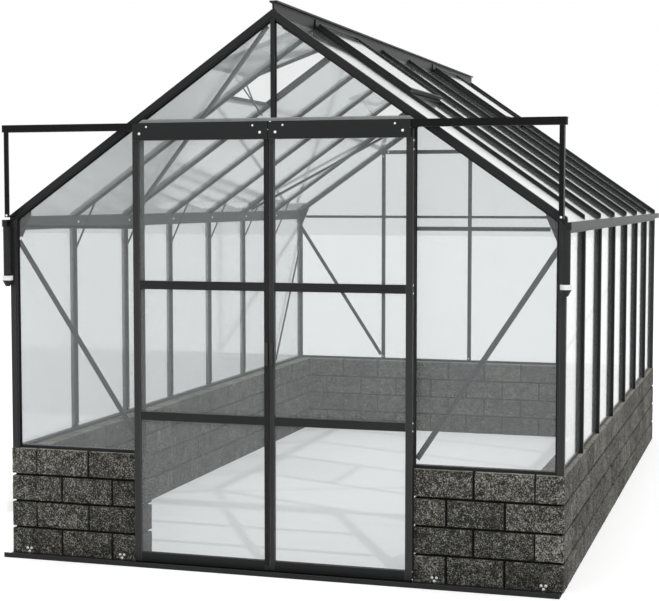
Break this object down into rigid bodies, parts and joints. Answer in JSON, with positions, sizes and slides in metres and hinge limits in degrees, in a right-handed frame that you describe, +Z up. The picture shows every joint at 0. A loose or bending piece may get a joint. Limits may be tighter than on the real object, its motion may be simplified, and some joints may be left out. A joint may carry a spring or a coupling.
{
  "type": "glass greenhouse on dwarf wall",
  "caption": "Gabled glass greenhouse with a dark aluminium frame on a low block wall, sliding double doors, roof vents, gutters and downpipes.",
  "frame": {"origin": "on the ground, under the middle of the whole house's box", "axes": "+Z up, +Y along the house from the doors to the rear gable, +X to the right seen from the doors"},
  "size_m": [2.645, 4.498, 2.538],
  "materials": {
    "block": "rough grey concrete block",
    "frame": "satin black powder-coated aluminium",
    "glass": "clear float glass",
    "roller": "turned steel",
    "white_plastic": "moulded white plastic",
    "black_plastic": "moulded black plastic"
  },
  "bodies": {
    "house": {"front_wall_left": "block", "front_wall_right": "block", "left_wall": "block", "right_wall": "block", "rear_wall": "block", "side_sills": "frame", "gable_sills": "frame", "corner_posts": "frame", "left_wall_bars": "frame", "right_wall_bars": "frame", "left_eave_gutter": "frame", "right_eave_gutter": "frame", "ridge_beam": "frame", "left_rafters": "frame", "right_rafters": "frame", "gable_rafters": "frame", "front_gable_bars": "frame", "rear_gable_bars": "frame", "lintels": "frame", "eave_rails": "frame", "gable_braces": "frame", "wind_braces": "frame", "corner_gussets": "frame", "knee_stays": "frame", "left_wall_glass": "glass", "right_wall_glass": "glass", "left_roof_glass": "glass", "right_roof_glass": "glass", "front_gable_glass": "glass", "rear_gable_glass": "glass", "vent_side_bars": "frame", "vent_cross_bars": "frame", "vent_glass": "glass", "vent_sills": "frame", "vent_stays": "frame", "door_track": "frame", "track_struts": "frame", "bottom_track": "frame", "downpipes": "black_plastic", "downpipe_collars": "white_plastic"},
    "left_door": {"left_door_stiles": "frame", "left_door_rails": "frame", "left_door_glass": "glass", "left_door_rollers": "roller"},
    "right_door": {"right_door_stiles": "frame", "right_door_rails": "frame", "right_door_glass": "glass", "right_door_rollers": "roller"}
  },
  "joints": [
    {"name": "left_door_slide", "type": "slide", "parent": "house", "child": "left_door", "axis": [-1, 0, 0], "range_m": [0, 0.6]},
    {"name": "right_door_slide", "type": "slide", "parent": "house", "child": "right_door", "axis": [1, 0, 0], "range_m": [0, 0.6]}
  ]
}
